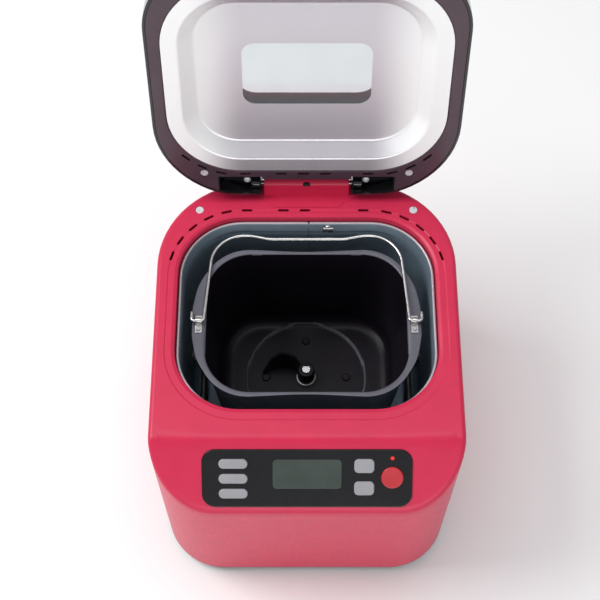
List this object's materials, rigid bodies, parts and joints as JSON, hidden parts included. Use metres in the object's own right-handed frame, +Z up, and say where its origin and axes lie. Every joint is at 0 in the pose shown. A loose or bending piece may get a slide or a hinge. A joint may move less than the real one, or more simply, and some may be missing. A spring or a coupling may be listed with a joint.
{
  "type": "bread machine",
  "caption": "Countertop bread machine with open hinged lid, lift-out non-stick pan with wire bail, kneading paddle, belt drive, heating element and sloping key panel.",
  "frame": {"origin": "middle of the overall width and length with the lid open, on the surface that the feet stand on", "axes": "+X to the machine's right as seen from its front, +Y to the back, +Z up; the key panel faces -Y"},
  "size_m": [0.284, 0.397, 0.5016],
  "materials": {
    "red_plastic": "satin moulded red plastic",
    "black_plastic": "fine moulded black plastic",
    "lid_black": "gloss black plastic",
    "plum_plastic": "semi-gloss dark plum plastic",
    "panel_black": "gloss black panel",
    "button_grey": "satin grey keys",
    "start_red": "red key",
    "light_red": "clear red lens",
    "white_plastic": "white nylon",
    "rubber": "matt black rubber",
    "silicone": "grey silicone",
    "chamber_steel": "coated grey sheet steel",
    "bright_steel": "bright steel",
    "reflector_steel": "polished sheet metal",
    "zinc_steel": "zinc-plated sheet steel",
    "heater_steel": "dark oxidised tube",
    "nonstick": "dark grey non-stick coat",
    "cast_alloy": "die-cast alloy",
    "bronze": "sintered bronze",
    "board_green": "circuit board",
    "copper_wound": "wound copper and laminations",
    "display": "clear grey lens",
    "lcd": "display module",
    "glass": "clear glass"
  },
  "bodies": {
    "housing": {"outer_housing": "red_plastic", "back_panel": "red_plastic", "top_deck": "red_plastic", "base_plate": "black_plastic", "rubber_feet": "rubber", "base_screws": "zinc_steel", "deck_screws": "bright_steel", "chassis_plate": "zinc_steel", "bearing_housing": "cast_alloy", "shaft_bushes": "bronze", "baking_chamber": "chamber_steel", "temperature_sensor": "bright_steel", "heating_element": "heater_steel", "heater_clips": "heater_steel", "pan_socket": "zinc_steel", "socket_springs": "bright_steel", "drive_belt": "rubber", "motor_case": "zinc_steel", "motor_screws": "zinc_steel", "run_capacitor": "white_plastic", "power_board": "board_green", "board_transformer": "copper_wound", "control_board": "board_green", "lcd_module": "lcd", "tact_switches": "black_plastic", "control_fascia": "panel_black", "display_window": "display", "status_light": "light_red", "cord_gland": "black_plastic", "hinge_pin": "bright_steel"},
    "drive": {"drive_shaft": "bright_steel", "drive_dog": "cast_alloy", "large_pulley": "white_plastic"},
    "motor_rotor": {"motor_shaft": "bright_steel", "motor_pulley": "cast_alloy"},
    "pan": {"bread_pan": "nonstick", "pan_base_ring": "cast_alloy", "pan_rivets": "nonstick", "pan_bush": "cast_alloy", "shaft_seal": "silicone", "bail_brackets": "bright_steel"},
    "pan_spindle": {"pan_shaft": "bright_steel", "pan_wing": "cast_alloy", "shaft_circlip": "bright_steel"},
    "paddle": {"kneading_paddle": "nonstick"},
    "bail": {"bail_handle": "bright_steel"},
    "lid": {"lid_shell": "lid_black", "lid_frame": "plum_plastic", "lid_reflector": "reflector_steel", "window_glass": "glass", "window_gasket": "silicone", "lid_screws": "bright_steel", "lid_hinge_brackets": "lid_black", "lid_hinge_screws": "bright_steel"},
    "menu_key": {"menu_button": "button_grey"},
    "crust_key": {"crust_button": "button_grey"},
    "loaf_key": {"loaf_button": "button_grey"},
    "time_up_key": {"time_up_button": "button_grey"},
    "time_down_key": {"time_down_button": "button_grey"},
    "start_key": {"start_button": "start_red"}
  },
  "joints": [
    {"name": "lid_hinge", "type": "hinge", "parent": "housing", "child": "lid", "pos_m": [0, 0.113, 0.2505], "axis": [-1, 0, 0], "range_deg": [-105, 0]},
    {"name": "pan_lift", "type": "slide", "parent": "housing", "child": "pan", "axis": [0, 0, 1], "range_m": [0, 0.22]},
    {"name": "bail_swing", "type": "hinge", "parent": "pan", "child": "bail", "pos_m": [0, -0.021, 0.221], "axis": [1, 0, 0], "range_deg": [0, 168]},
    {"name": "paddle_lift", "type": "slide", "parent": "pan_spindle", "child": "paddle", "axis": [0, 0, 1], "range_m": [0, 0.145]},
    {"name": "drive_spin", "type": "hinge", "parent": "housing", "child": "drive", "pos_m": [0, -0.019, 0.02], "axis": [0, 0, 1], "continuous": true},
    {"name": "motor_spin", "type": "hinge", "parent": "housing", "child": "motor_rotor", "pos_m": [0.072, -0.155, 0.02], "axis": [0, 0, 1], "continuous": true},
    {"name": "spindle_spin", "type": "hinge", "parent": "pan", "child": "pan_spindle", "pos_m": [0, -0.019, 0.08], "axis": [0, 0, 1], "continuous": true},
    {"name": "menu_press", "type": "slide", "parent": "housing", "child": "menu_key", "axis": [0, 0.6317, -0.7752], "range_m": [0, 0.0012], "stiffness_N_per_m": 500, "springref_m": -0.0004},
    {"name": "crust_press", "type": "slide", "parent": "housing", "child": "crust_key", "axis": [0, 0.6317, -0.7752], "range_m": [0, 0.0012], "stiffness_N_per_m": 500, "springref_m": -0.0004},
    {"name": "loaf_press", "type": "slide", "parent": "housing", "child": "loaf_key", "axis": [0, 0.6317, -0.7752], "range_m": [0, 0.0012], "stiffness_N_per_m": 500, "springref_m": -0.0004},
    {"name": "time_up_press", "type": "slide", "parent": "housing", "child": "time_up_key", "axis": [0, 0.6317, -0.7752], "range_m": [0, 0.0012], "stiffness_N_per_m": 500, "springref_m": -0.0004},
    {"name": "time_down_press", "type": "slide", "parent": "housing", "child": "time_down_key", "axis": [0, 0.6317, -0.7752], "range_m": [0, 0.0012], "stiffness_N_per_m": 500, "springref_m": -0.0004},
    {"name": "start_press", "type": "slide", "parent": "housing", "child": "start_key", "axis": [0, 0.6317, -0.7752], "range_m": [0, 0.0012], "stiffness_N_per_m": 500, "springref_m": -0.0004}
  ],
  "couplings": [
    {"joint": "motor_spin", "follows": "drive_spin", "ratio": 5},
    {"joint": "spindle_spin", "follows": "drive_spin", "ratio": 1}
  ]
}
